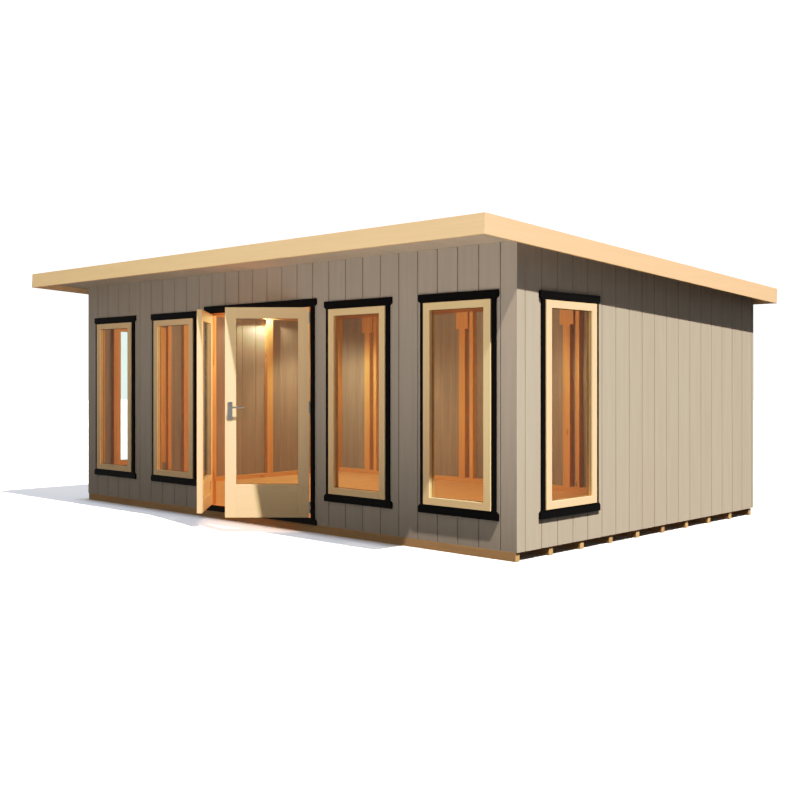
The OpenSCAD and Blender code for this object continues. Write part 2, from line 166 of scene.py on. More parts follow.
def grain(s, ring=0.0055, wander=0.010):
    """Growth rings and fibres along the length of a timber piece.

    The attribute "wood" holds, for each piece, two cross-grain distances and the
    distance along it, so rings show on the ends and long streaks on the faces.
    """
    wood = s.attr("wood", "Vector")
    stretched = s.vmath("MULTIPLY", wood, (6.0, 6.0, 0.9))
    bend = s.noise(stretched, 1.0, 2.0, 0.5, out=1)
    shift = s.vmath("MULTIPLY", s.vmath("SUBTRACT", bend, (0.5, 0.5, 0.5)),
                    (wander * 2, wander * 2, 0.0))
    moved = s.node("ShaderNodeSeparateXYZ", {0: s.vmath("ADD", wood, shift)})
    x, y = moved.outputs[0], moved.outputs[1]
    radius = s.math("SQRT", s.math("ADD", s.math("MULTIPLY", x, x), s.math("MULTIPLY", y, y)))
    turn = s.math("MULTIPLY", radius, 1.0 / ring)
    saw = s.math("FRACT", turn)
    ring_f = s.math("POWER", saw, 2.2)
    fibre_v = s.vmath("MULTIPLY", wood, (420.0, 420.0, 9.0))
    fibre = s.noise(fibre_v, 1.0, 3.0, 0.6)
    broad = s.noise(s.vmath("MULTIPLY", wood, (22.0, 22.0, 1.4)), 1.0, 3.0, 0.55)
    return wood, ring_f, fibre, broad


def knots(s, wood, scale=2.1, size=0.055):
    """Sparse round knots: 1 in the middle of one, 0 away from it."""
    v = s.vmath("MULTIPLY", wood, (scale * 3.2, scale * 3.2, scale))
    cells = s.node("ShaderNodeTexVoronoi", {"Vector": v, "Scale": 1.0, "Randomness": 1.0},
                   feature="F1")
    near = s.math("SUBTRACT", 1.0, s.math("DIVIDE", cells.outputs["Distance"], size * scale),
                  clamp=True)
    pick = s.node("ShaderNodeSeparateColor", {0: cells.outputs["Color"]}).outputs[0]
    keep = s.math("GREATER_THAN", pick, 0.55)
    return s.math("MULTIPLY", near, keep)


def timber(name, light, dark, deep, rough=0.55, bump=0.25, tone_amount=0.5):
    """Bare planed or sawn softwood."""
    s = Shader(name)
    wood, ring_f, fibre, broad = grain(s)
    tone = s.attr("tone")
    base = s.ramp(ring_f, [(0.0, light), (0.55, tuple((a + b) / 2 for a, b in zip(light, dark))),
                           (1.0, dark)])
    streak = s.ramp(broad, [(0.25, (0.80, 0.78, 0.76)), (0.75, (1.08, 1.06, 1.04))])
    col = s.mix(0.75, base, streak, "MULTIPLY")
    fib = s.ramp(fibre, [(0.3, (0.86, 0.84, 0.82)), (0.7, (1.05, 1.05, 1.05))])
    col = s.mix(0.6, col, fib, "MULTIPLY")
    each = s.ramp(tone, [(0.0, (0.86, 0.84, 0.82)), (1.0, (1.10, 1.09, 1.07))])
    col = s.mix(tone_amount, col, each, "MULTIPLY")
    k = knots(s, wood)
    col = s.mix(s.math("MULTIPLY", k, 0.85), col, rgba(deep))
    s.set(color=col,
          rough=s.math("ADD", s.math("MULTIPLY", fibre, 0.22), rough - 0.1),
          spec=0.35)
    h = s.math("ADD", s.math("MULTIPLY", ring_f, 0.35), fibre)
    s.set(normal=s.bump(h, bump, 0.0012))
    return s.mat


def painted(name, colour, vary=0.05, rough=0.42, fibre_bump=0.16, sheen_rough=0.12,
            tone_amount=0.35, spec=0.42):
    """Paint on timber: the grain reads through as a faint relief and a faint change of shade."""
    s = Shader(name)
    wood, ring_f, fibre, broad = grain(s, ring=0.008)
    tone = s.attr("tone")
    lo = tuple(c * (1 - vary) for c in colour)
    hi = tuple(min(1.0, c * (1 + vary)) for c in colour)
    col = s.ramp(broad, [(0.3, lo), (0.7, hi)])
    each = s.ramp(tone, [(0.0, (0.90, 0.90, 0.90)), (1.0, (1.07, 1.07, 1.07))])
    col = s.mix(tone_amount, col, each, "MULTIPLY")
    brush = s.noise(s.vmath("MULTIPLY", wood, (160.0, 160.0, 2.2)), 1.0, 3.0, 0.6)
    fine = s.ramp(brush, [(0.3, (0.965, 0.965, 0.965)), (0.7, (1.02, 1.02, 1.02))])
    col = s.mix(1.0, col, fine, "MULTIPLY")
    s.set(color=col,
          rough=s.math("ADD", s.math("MULTIPLY", brush, sheen_rough), rough - sheen_rough / 2),
          spec=spec)
    h = s.math("ADD", s.math("MULTIPLY", ring_f, 0.30),
               s.math("ADD", s.math("MULTIPLY", brush, 0.8), s.math("MULTIPLY", fibre, 0.35)))
    s.set(normal=s.bump(h, fibre_bump, 0.0010))
    return s.mat


def metal(name, colour, rough, brushed=0.0, coat=0.0, metallic=1.0):
    s = Shader(name)
    pos = s.node("ShaderNodeTexCoord").outputs["Object"]
    long = s.noise(s.vmath("MULTIPLY", pos, (900.0, 900.0, 30.0)), 1.0, 2.0, 0.6)
    smear = s.noise(pos, 38.0, 3.0, 0.6)
    col = s.ramp(smear, [(0.3, tuple(c * 0.92 for c in colour)), (0.7, colour)])
    s.set(color=col, metal=metallic, coat=coat,
          rough=s.math("ADD", s.math("MULTIPLY", s.math("ADD", long, smear), 0.10), rough - 0.08))
    s.set(normal=s.bump(long, 0.10 + brushed, 0.0002))
    return s.mat


def glass(name, tint):
    """Clear pane: the light goes straight through and the surface mirrors at a glance."""
    s = Shader(name)
    s.nt.nodes.remove(s.bsdf)
    pos = s.node("ShaderNodeTexCoord").outputs["Object"]
    wiped = s.noise(s.vmath("MULTIPLY", pos, (3.0, 3.0, 1.1)), 1.0, 4.0, 0.6)
    clear = s.node("ShaderNodeBsdfTransparent", {"Color": rgba(tint)})
    shine = s.node("ShaderNodeBsdfGlossy", {"Color": (1, 1, 1, 1),
                                            "Roughness": s.math("MULTIPLY", wiped, 0.05)})
    rim = s.node("ShaderNodeFresnel", {"IOR": 1.45})
    outer = s.math("SUBTRACT", 1.0, s.node("ShaderNodeNewGeometry").outputs["Backfacing"])
    film = s.math("ADD", s.math("MULTIPLY", wiped, 0.12), 0.30)
    keep = s.math("MULTIPLY", s.math("MULTIPLY", rim.outputs[0], outer), film)
    mix = s.node("ShaderNodeMixShader", {0: keep, 1: clear.outputs[0], 2: shine.outputs[0]})
    s.link(mix.outputs[0], s.out.inputs["Surface"])
    return s.mat


def membrane(name):
    s = Shader(name)
    pos = s.node("ShaderNodeTexCoord").outputs["Object"]
    broad = s.noise(pos, 0.9, 4.0, 0.6)
    grit = s.noise(pos, 420.0, 2.0, 0.6)
    col = s.ramp(broad, [(0.25, lin(52, 53, 55)), (0.75, lin(62, 63, 65))])
    speck = s.ramp(s.noise(pos, 160.0, 2.0, 0.7),
                   [(0.35, (0.86, 0.86, 0.86)), (0.65, (1.12, 1.12, 1.12))])
    each = s.ramp(s.attr("tone"), [(0.0, (0.86, 0.86, 0.86)), (1.0, (1.12, 1.12, 1.12))])
    col = s.mix(1.0, s.mix(1.0, col, speck, "MULTIPLY"), each, "MULTIPLY")
    s.set(color=col, rough=s.math("ADD", s.math("MULTIPLY", grit, 0.15), 0.62), spec=0.3)
    s.set(normal=s.bump(grit, 0.35, 0.0006))
    return s.mat


SUNNY_FLOOR = (1.0, 0.97, 0.93, 1.0)


def plain_floor(name, middle, reach):
    """Pale ground, which shows the camera one light and throws another on the walls.

    Near the walls it throws less than it shows, as if the building shaded it; further off
    it throws most in front of the doorway, and shiny surfaces mirror one even level.
    """
    s = Shader(name)
    s.nt.nodes.remove(s.bsdf)
    pos = s.node("ShaderNodeTexCoord").outputs["Object"]
    x, y, _ = s.node("ShaderNodeSeparateXYZ", {0: pos}).outputs
    pale = s.ramp(s.noise(pos, 3.0, 3.0, 0.6), [(0.3, (0.90, 0.91, 0.93)), (0.7, (0.93, 0.94, 0.96))])
    gap = [s.math("MAXIMUM", s.math("SUBTRACT", s.math("ABSOLUTE", s.math(
        "SUBTRACT", v, middle[i])), reach[i]), 0.0) for i, v in enumerate((x, y))]
    away = s.math("SQRT", s.math("ADD", s.math("MULTIPLY", gap[0], gap[0]),
                                 s.math("MULTIPLY", gap[1], gap[1])))
    # Painted light: a bluish glow that the camera sees lightens the floor's shadows; it fades to
    # nothing at the building's footprint, a painted shade at the foot of the walls and under the
    # floor.
    rise = s.math("MULTIPLY", s.math("MULTIPLY", away, 5.0, clamp=True), 0.54)
    lit = s.node("ShaderNodeBsdfDiffuse", {"Color": pale})
    lift = s.node("ShaderNodeEmission", {"Color": (0.68, 0.79, 1.0, 1.0), "Strength": rise})
    shown = s.node("ShaderNodeAddShader", {0: lit.outputs[0], 1: lift.outputs[0]})
    shade = s.math("SUBTRACT", 1.9, s.math("MULTIPLY", x, 0.25))
    far = s.math("MULTIPLY", s.math("SUBTRACT", away, shade), 0.40, clamp=True)
    across = s.math("MINIMUM", s.line(x, 0.14, 0.70), s.line(x, -0.40, 2.6))
    sunny = s.math("MULTIPLY", across, s.line(y, -0.30, 0.15))
    level = s.math("MULTIPLY", s.math("MULTIPLY", far, sunny), 3.5)
    thrown = s.node("ShaderNodeEmission", {"Color": SUNNY_FLOOR, "Strength": level})
    mirrored = s.node("ShaderNodeEmission", {"Color": SUNNY_FLOOR, "Strength": MIRRORED})
    s.by_ray(thrown, mirrored, shown)
    return s.mat


WALL = painted("wall_paint", lin(172, 159, 144), vary=0.045, rough=0.58, fibre_bump=0.22,
               tone_amount=0.22)
# Darker paint on the faces of the V joints: painted shade in the grooves.
GROOVE_SHADE = painted("wall_groove_shade", lin(146, 134, 120), vary=0.05, rough=0.7, fibre_bump=0.22)
INSIDE = painted("wall_inside", lin(148, 132, 114), vary=0.10, rough=0.75, fibre_bump=0.30,
                 tone_amount=0.6)
CREAM = painted("cream_paint", lin(242, 206, 153), vary=0.018, rough=0.40, fibre_bump=0.12,
                tone_amount=0.12)
# A darker, more orange copy of the cream paint on the fascias: painted shade that tempers the strong
# sun on them.
EAVE_SHADED = painted("fascia_paint_painted_shade", lin(236, 193, 144), vary=0.03, rough=0.45, fibre_bump=0.14,
               tone_amount=0.12)
# Lighter than the wall paint: painted light, standing in for light thrown up from the sunlit ground
# under the eaves.
SOFFIT_PAINTED_BOUNCE = painted("soffit_paint_painted_bounce", lin(214, 194, 170), vary=0.045, rough=0.6, fibre_bump=0.2,
                       tone_amount=0.22)
BLACK = painted("black_paint", lin(5, 5, 5), vary=0.12, rough=0.55, fibre_bump=0.16, spec=0.08)
PINE = timber("frame_pine", lin(222, 168, 108), lin(196, 134, 76), lin(110, 62, 30))
LINING = timber("lining_pine", lin(228, 168, 108), lin(202, 138, 80), lin(120, 66, 32), rough=0.45)
FLOOR = timber("floor_pine", lin(226, 172, 112), lin(200, 142, 86), lin(124, 74, 38), rough=0.42,
               bump=0.12)
CEILING = timber("ceiling_pine", lin(206, 152, 100), lin(178, 120, 72), lin(104, 60, 30))
BEARER = timber("bearer_sawn", lin(214, 172, 122), lin(180, 136, 88), lin(112, 76, 46), rough=0.72,
                bump=0.6, tone_amount=0.9)
PANEL = timber("roof_deck", lin(206, 168, 118), lin(180, 138, 90), lin(120, 80, 44), rough=0.6)
PANE = glass("pane", (0.945, 0.972, 0.960))
# Dark rubber for seals and spacers; the same material also marks the screw slots and the keyway, as
# painted shade in those holes.
GASKET_AND_SLOT_SHADE = metal("gasket_and_slot_shade", lin(30, 30, 31), 0.6, metallic=0.0)
ROOF = membrane("roof_membrane")
SATIN = metal("brushed_satin", lin(196, 197, 200), 0.30, brushed=0.08)
HINGE = metal("hinge_steel", lin(170, 168, 162), 0.38, coat=0.2, metallic=0.8)
SCREW = metal("screw_metal", lin(176, 176, 174), 0.32)


# ---------------------------------------------------------------- mesh helpers

BOX_FACES = [(0, 1, 3, 2), (4, 6, 7, 5), (0, 4, 5, 1), (2, 3, 7, 6), (0, 2, 6, 4), (1, 5, 7, 3)]


def corners(us, vs, zs, to_world=lambda u, v, z: Vector((u, v, z))):
    """The eight corners of a block, in the order that BOX_FACES counts them."""
    return [to_world(u, v, z) for u in us for v in vs for z in zs]


class Piece:
    """One visible object, gathered from solids that each carry their own grain."""

    def __init__(self, name, *mats):
        self.name, self.mats = name, mats
        self.bm = bmesh.new()
        self.wood = self.bm.verts.layers.float_vector.new("wood")
        self.tone = self.bm.verts.layers.float.new("tone")

    def stamp(self, verts, axis=None, tone=None):
        lo = Vector([min(v.co[i] for v in verts) for i in range(3)])
        hi = Vector([max(v.co[i] for v in verts) for i in range(3)])
        if axis is None:
            axis = max(range(3), key=lambda i: hi[i] - lo[i])
        mid = (lo + hi) / 2
        a, b = (axis + 1) % 3, (axis + 2) % 3
        da, db = rnd.uniform(-0.05, 0.05), rnd.uniform(0.03, 0.09) * rnd.choice((-1, 1))
        dl = rnd.uniform(0, 60)
        tone = rnd.random() if tone is None else tone
        for v in verts:
            d = v.co - mid
            v[self.wood] = Vector((d[a] + da, d[b] + db, d[axis] + dl))
            v[self.tone] = tone

    def solid(self, points, faces, axis=None, mat=0, tone=None):
        vs = [self.bm.verts.new(p) for p in points]
        made = []
        for i, f in enumerate(faces):
            face = self.bm.faces.new([vs[k] for k in f])
            face.material_index = mat[i] if isinstance(mat, list) else mat
            face.smooth = False
            made.append(face)
        bmesh.ops.recalc_face_normals(self.bm, faces=made)
        self.stamp(vs, axis, tone)
        return vs, made

    def box(self, lo, hi, axis, mat=0, place=None):
        """A block from corner lo to corner hi, its grain laid out before place turns it."""
        vs, _ = self.solid(corners(*zip(lo, hi)), BOX_FACES, axis, mat)
        if place is not None:
            for v in vs:
                v.co = place @ v.co

    def prism(self, outline, depth, to_world, axis, mat=0, tone=None):
        """outline: (u, v) points; depth: (w0, w1) or a function of (u, v) giving them."""
        n = len(outline)
        ends = [depth(u, v) if callable(depth) else depth for u, v in outline]
        pts = [to_world(u, v, e[0]) for (u, v), e in zip(outline, ends)]
        pts += [to_world(u, v, e[1]) for (u, v), e in zip(outline, ends)]
        faces = [tuple(range(n)), tuple(range(2 * n - 1, n - 1, -1))]
        faces += [(i, (i + 1) % n, n + (i + 1) % n, n + i) for i in range(n)]
        return self.solid(pts, faces, axis, mat, tone)

    def tube(self, rings, mat=0):
        """Smooth skin through rings of points, with flat ends."""
        n = len(rings[0])
        rows = [[self.bm.verts.new(p) for p in ring] for ring in rings]
        made = []
        for a, b in zip(rows, rows[1:]):
            for i in range(n):
                f = self.bm.faces.new((a[i], a[(i + 1) % n], b[(i + 1) % n], b[i]))
                f.smooth, f.material_index = True, mat
                made.append(f)
        for row in (rows[0], rows[-1]):
            f = self.bm.faces.new(row)
            f.smooth, f.material_index = False, mat
            made.append(f)
        bmesh.ops.recalc_face_normals(self.bm, faces=made)
        self.stamp([v for r in rows for v in r])

    def from_node(self, node, axis=None):
        """The CAD node's own solids, with their flat faces whole, ready for softened edges."""
        src = bmesh.new()
        src.from_mesh(NODES[node].data)
        bmesh.ops.remove_doubles(src, verts=src.verts, dist=1e-5)
        bmesh.ops.dissolve_limit(src, angle_limit=math.radians(0.5), verts=src.verts,
                                 edges=src.edges, delimit={"NORMAL"})
        for group in groups_of(src):
            index = {v: i for i, v in enumerate(group)}
            faces = {f for v in group for f in v.link_faces}
            self.solid([v.co.copy() for v in group],
                       [tuple(index[v] for v in f.verts) for f in faces], axis)
        src.free()

    def done(self, body, slot, replaces=(), edge=0.0, steps=2, angle=35.0):
        me = bpy.data.meshes.new(self.name)
        self.bm.to_mesh(me)
        self.bm.free()
        o = bpy.data.objects.new(self.name, me)
        bpy.context.scene.collection.objects.link(o)
        for m in self.mats:
            me.materials.append(m)
        if edge:
            b = o.modifiers.new("edge", "BEVEL")
            b.width, b.segments = edge, steps
            b.limit_method, b.angle_limit = "ANGLE", math.radians(angle)
        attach(o, body)
        if replaces:
            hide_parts(*replaces)
        return o


def groups_of(bm):
    """Vertices of each separate solid."""
    left, out = set(bm.verts), []
    for seed in list(bm.verts):
        if seed not in left:
            continue
        left.discard(seed)
        stack, got = [seed], []
        while stack:
            v = stack.pop()
            got.append(v)
            for e in v.link_edges:
                w = e.other_vert(v)
                if w in left:
                    left.discard(w)
                    stack.append(w)
        out.append(got)
    return out


def solids(node, turn=None):
    """Box of each solid of a CAD node, in the row frame or seen through turn."""
    src = bmesh.new()
    src.from_mesh(NODES[node].data)
    bmesh.ops.remove_doubles(src, verts=src.verts, dist=1e-5)
    out = []
    for group in groups_of(src):
        pts = [turn @ v.co if turn else v.co.copy() for v in group]
        out.append((Vector([min(p[i] for p in pts) for i in range(3)]),
                    Vector([max(p[i] for p in pts) for i in range(3)])))
    src.free()
    return sorted(out, key=lambda b: (round(b[0].x, 3), round(b[0].y, 3), round(b[0].z, 3)))


# ---------------------------------------------------------------- the frame's own measures

front_l, front_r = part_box("front_wall_left"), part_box("front_wall_right")
over_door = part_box("front_wall_over_door")
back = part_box("back_wall")
half_w = front_r[1].x
skin = front_r[1].y - front_r[0].y
front_y, back_y = front_r[0].y, back[1].y

roof_top = max(NODES["roof_panel"].data.polygons, key=lambda p: p.area * (p.normal.z > 0.5)).normal
FALL = math.atan2(roof_top.y, roof_top.z)
N = Vector((0, math.sin(FALL), math.cos(FALL)))
E = Vector((0, math.cos(FALL), -math.sin(FALL)))


def along_roof(node):
    """Extent of a CAD node along x, down the slope and above the soffit plane's origin."""
    co = [v.co for v in NODES[node].data.vertices]
    return [(min(p.x for p in co), max(p.x for p in co)),
            (min(p.dot(E) for p in co), max(p.dot(E) for p in co)),
            (min(p.dot(N) for p in co), max(p.dot(N) for p in co))]


soff = along_roof("soffit")
SOFFIT = soff[2][0]


def roof_at(x, s, h):
    """Point from x, distance down the slope s and height h above the soffit plane."""
    return Vector((x, 0, 0)) + E * s + N * (SOFFIT + h)


def roof_z(y, h=0.0):
    """Height at y of the plane h above the soffit."""
    return (SOFFIT + h - N.y * y) / N.z


def slope_s(y, h=0.0):
    """Distance down the slope where the plane h above the soffit has this y."""
    return (y - N.y * (SOFFIT + h)) / E.y


soffit_t = soff[2][1] - soff[2][0]


# ---------------------------------------------------------------- boarded walls

def cut_lines(lo, hi, joints, holes):
    """Board edges, and the strips each board is made of, with the holes' edges added."""
    edges = [lo] + [j for j in joints if lo + 0.012 < j < hi - 0.012] + [hi]
    for a, b in zip(edges, edges[1:]):
        marks = sorted({a, b, *[h for hole in holes for h in hole[:2] if a < h < b]})
        for c, d in zip(marks, marks[1:]):
            yield a, b, c, d


def board_wall(piece, lo, hi, joints, holes, to_world, top, z0, t):
    """Tongued upright boards with V joints between lo and hi, in wall co-ordinates.

    s runs along the wall and d into it from the outer face; holes are (s0, s1, z0, z1).
    Materials: 0 outside and cut ends, 1 inside, 2 the faces of the joints, in a darker paint that is
    painted shade in the grooves.
    """
    vee, vee_in, gap = 0.0044, 0.0034, 0.0012
    half = t * 0.5
    board = None
    for a, b, c, d in cut_lines(lo, hi, joints, holes):
        if board != a:
            board, tone = a, rnd.random()
            shift = rnd.uniform(0, 60)
            cross = rnd.uniform(-0.05, 0.05)
        left, right = (c == a and a != lo), (d == b and b != hi)
        out = []
        if left:
            out += [(c, t - vee_in), (c, half), (c + gap, half), (c + gap, vee), (c + gap + vee, 0)]
        else:
            out += [(c, t), (c, 0)]
        if right:
            out += [(d - gap - vee, 0), (d - gap, vee), (d - gap, half), (d, half), (d, t - vee_in)]
        else:
            out += [(d, 0), (d, t)]
        if right:
            out.append((d - vee_in, t))
        if left:
            out.append((c + vee_in, t))
        sides = [1 if min(p[1], q[1]) > t * 0.55 else
                 0 if max(p[1], q[1]) == 0 or abs(p[1] - q[1]) > t * 0.9 else 2
                 for p, q in zip(out, out[1:] + out[:1])]
        bars = [(z0, None)]
        for h in sorted((h for h in holes if h[0] <= c + 1e-9 and h[1] >= d - 1e-9),
                        key=lambda h: h[2]):
            last = bars.pop()
            bars += [(last[0], h[2]), (h[3], None)]
        for z_lo, z_hi in bars:
            ends = (lambda s, q, z_lo=z_lo, z_hi=z_hi:
                    (z_lo, z_hi if z_hi is not None else top(s, q)))
            vs, _ = piece.prism(out, ends, to_world, 2, mat=[0, 0] + sides, tone=tone)
            mid = (a + b) / 2
            for v, (s, q) in zip(vs, out + out):
                v[piece.wood] = Vector((s - mid + cross, 0.05 + q, v.co.z + shift))


def opening(node_box, axis):
    lo, hi = node_box
    return (lo[axis], hi[axis], lo.z, hi.z)


front_holes = [opening(b, 0) for b in solids("front_window_frames")]
front_joints = sorted(half_w - FRONT_FIRST - FRONT_PITCH * k for k in range(40))
side_joints = [front_y + SIDE_FIRST + SIDE_PITCH * k for k in range(19)]


def wall_top(y):
    """Height of the boards' upper ends, a hair under the roof panel."""
    return roof_z(y, soffit_t) - HAIR


for name, box_ in (("front_wall_left", front_l), ("front_wall_right", front_r),
                   ("front_wall_over_door", over_door)):
    p = Piece(name + "_boards", WALL, INSIDE, GROOVE_SHADE)
    holes = [h for h in front_holes if h[0] > box_[0].x and h[1] < box_[1].x]
    board_wall(p, box_[0].x, box_[1].x, front_joints, holes,
               lambda s, d, z: Vector((s, front_y + d, z)),
               lambda s, d: wall_top(front_y + d), box_[0].z, skin)
    p.done("building", "wall_boards", (name,))

p = Piece("back_wall_boards", WALL, INSIDE, GROOVE_SHADE)
board_wall(p, back[0].x, back[1].x, front_joints, [],
           lambda s, d, z: Vector((s, back_y - d, z)),
           lambda s, d: wall_top(back_y - d), back[0].z, skin)
p.done("building", "wall_boards", ("back_wall",))

for side, sign in (("left", -1), ("right", 1)):
    box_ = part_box(side + "_wall")
    hole = opening(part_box(side + "_window_frame"), 1)
    p = Piece(side + "_wall_boards", WALL, INSIDE, GROOVE_SHADE)
    board_wall(p, box_[0].y, box_[1].y, side_joints, [hole],
               lambda s, d, z, sign=sign: Vector((sign * (half_w - d), s, z)),
               lambda s, d: wall_top(s), box_[0].z, skin)
    p.done("building", "wall_boards", (side + "_wall",))


# ---------------------------------------------------------------- boards overhead and underfoot

def roof_boards(piece, x0, x1, s_of, pitch, vee):
    """Boards running down the slope; s_of(h) gives where a board starts and ends at height h."""
    h0, h1 = 0.0, soffit_t
    n = max(1, round((x1 - x0) / pitch))
    for i in range(n):
        a, b = x0 + (x1 - x0) * i / n, x0 + (x1 - x0) * (i + 1) / n
        la, lb = (vee if i else 0.0), (vee if i < n - 1 else 0.0)
        g, half = 0.0006, (h0 + h1) / 2
        out = [(a + (g if la else 0) + la, h0), (b - (g if lb else 0) - lb, h0)]
        if lb:
            out += [(b - g, h0 + lb), (b - g, half), (b, half)]
        out += [(b, h1), (a, h1)]
        if la:
            out += [(a, half), (a + g, half), (a + g, h0 + la)]
        piece.prism(out, lambda x, h: s_of(h), lambda x, h, s: roof_at(x, s, h), 1)


eave0, eave1 = soff[1]
# The soffit boards carry the lighter paint: painted light from the ground below.
p = Piece("soffit_boards", SOFFIT_PAINTED_BOUNCE)
roof_boards(p, -half_w, half_w, lambda h: (eave0, slope_s(front_y, h) - CUT_BACK),
            SOFFIT_BOARD, 0.004)
roof_boards(p, -half_w, half_w, lambda h: (slope_s(back_y, h) + CUT_BACK, eave1),
            SOFFIT_BOARD, 0.004)
for sign in (-1, 1):
    a, b = sorted((sign * (half_w + CUT_BACK), sign * soff[0][1]))
    roof_boards(p, a, b, lambda h: (eave0, eave1), SOFFIT_BOARD, 0.004)
p.done("building", "wall_boards", ("soffit",))

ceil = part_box("ceiling_boards")
p = Piece("ceiling_boarding", CEILING)
roof_boards(p, ceil[0].x, ceil[1].x, lambda h: (slope_s(ceil[0].y, h), slope_s(ceil[1].y, h)),
            NARROW_BOARD, 0.003)
p.done("building", "ceiling_boards", ("ceiling_boards",))

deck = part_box("floor_deck")
p = Piece("floor_boards", FLOOR)
n = round((deck[1].x - deck[0].x) / NARROW_BOARD)
for i in range(n):
    a = deck[0].x + (deck[1].x - deck[0].x) * i / n
    b = deck[0].x + (deck[1].x - deck[0].x) * (i + 1) / n
    p.box((a + 0.0005, deck[0].y, deck[0].z), (b - 0.0005, deck[1].y, deck[1].z), 1)
p.done("building", "floor_boards", ("floor_deck",), edge=0.0015, steps=1)

cover = along_roof("roof_covering")
p = Piece("roof_sheets", ROOF)
lap, lap_t, sheet_n = 0.06, 0.0012, 5
top_h, low_h = cover[2][1] - SOFFIT, cover[2][0] - SOFFIT
for i in range(sheet_n):
    a = cover[0][0] + (cover[0][1] - cover[0][0]) * i / sheet_n
    b = cover[0][0] + (cover[0][1] - cover[0][0]) * (i + 1) / sheet_n
    p.prism([(a, low_h), (b, low_h), (b, top_h - lap_t), (a, top_h - lap_t)],
            (cover[1][0], cover[1][1]), lambda x, h, s: roof_at(x, s, h), 1)
    if i < sheet_n - 1:
        p.prism([(b - lap, top_h - lap_t), (b, top_h - lap_t), (b - 0.002, top_h - 0.0001),
                 (b - lap + 0.002, top_h - 0.0001)],
                (cover[1][0], cover[1][1]), lambda x, h, s: roof_at(x, s, h), 1)
p.done("building", "roof_membrane", ("roof_covering",))


# ---------------------------------------------------------------- plain timbers from the frame

UPRIGHT = ("side_wall_posts", "back_wall_posts", "corner_posts")
for node, mat, slot, edge in (
        ("bearers", BEARER, "bearer_timber", 0.0022),
        ("sole_plates", PINE, "frame_timber", 0.0015),
        ("corner_posts", PINE, "frame_timber", 0.0015),
        ("front_wall_studs", PINE, "frame_timber", 0.0015),
        ("side_wall_posts", PINE, "frame_timber", 0.0015),
        ("side_wall_headers", PINE, "frame_timber", 0.0015),
        ("back_wall_posts", PINE, "frame_timber", 0.0015),
        ("back_wall_studs", PINE, "frame_timber", 0.0015),
        ("door_frame", LINING, "lining_timber", 0.0008),
        ("fascia_front", EAVE_SHADED, "cream_paint", 0.0018),
        ("fascia_back", EAVE_SHADED, "cream_paint", 0.0018),
        ("fascia_left", EAVE_SHADED, "cream_paint", 0.0018),
        ("fascia_right", EAVE_SHADED, "cream_paint", 0.0018)):
    p = Piece(node + "_timber", mat)
    p.from_node(node, axis=2 if node in UPRIGHT else None)
    p.done("building", slot, (node,), edge=edge)

NODES["roof_panel"].data.materials[0] = PANEL
for holder in NODES["roof_panel"].material_slots:
    holder.material = PANEL


# ---------------------------------------------------------------- windows

def facing_map(side):
    """Wall co-ordinates (along, out, up) to the row frame; out is measured outwards."""
    if side == "front":
        return lambda s, out, z: Vector((s, front_y - out, z))
    sign = 1 if side == "right" else -1
    return lambda s, out, z: Vector((sign * (half_w + out), s, z))


def framed(piece, put, s0, s1, z0, z1, outs, stile, rail, axis_s):
    """Two stiles with rails between them: bare timber behind the pane, painted in front of it."""
    def bar(a, b, c, d, axis):
        for o0, o1, mat in zip(outs, outs[1:], (2, 0)):
            piece.solid(corners((a, b), (o0, o1), (c, d), put), BOX_FACES, axis, mat)
    bar(s0, s0 + stile, z0, z1, 2)
    bar(s1 - stile, s1, z0, z1, 2)
    bar(s0 + stile + HAIR, s1 - stile - HAIR, z0, z0 + rail, axis_s)
    bar(s0 + stile + HAIR, s1 - stile - HAIR, z1 - rail, z1, axis_s)


def swept_ring(piece, put, s0, s1, z0, z1, profile, mat=0):
    """A mitred moulding round a rectangle; profile points are (inward from the edge, out)."""
    n = len(profile)
    rows = []
    for cs, cz in ((0, 0), (1, 0), (1, 1), (0, 1)):
        row = []
        for inward, out in profile:
            s = s0 + inward if cs == 0 else s1 - inward
            z = z0 + inward if cz == 0 else z1 - inward
            row.append(put(s, out, z))
        rows.append(row)
    pts = [p for row in rows for p in row]
    faces = []
    for k in range(4):
        m = (k + 1) % 4
        for i in range(n):
            faces.append((k * n + i, k * n + (i + 1) % n, m * n + (i + 1) % n, m * n + i))
    piece.solid(pts, faces, 2, mat)


def seal_at(face, way):
    """Section of the slim rubber seal lying on a pane's face, for swept_ring."""
    return [(0.0, face), (0.0035, face), (0.0028, face + way * 0.0022), (0.0, face + way * 0.003)]


def panes(name, put, s0, s1, z0, z1, out_mid, t, body, replaces):
    """A sealed unit: two thin panes with a dark spacer between them at the edge."""
    p = Piece(name, PANE, GASKET_AND_SLOT_SHADE)
    back_face, front_face = out_mid - t / 2, out_mid + t / 2
    lo, hi = back_face + PANE_T, front_face - PANE_T
    for depths in ((back_face, lo), (hi, front_face)):
        p.solid(corners((s0, s1), depths, (z0, z1), put), BOX_FACES, 2)
    swept_ring(p, put, s0, s1, z0, z1, [(0.0, lo), (SPACER_W, lo), (SPACER_W, hi), (0.0, hi)], 1)
    p.done(body, "glazing", replaces)


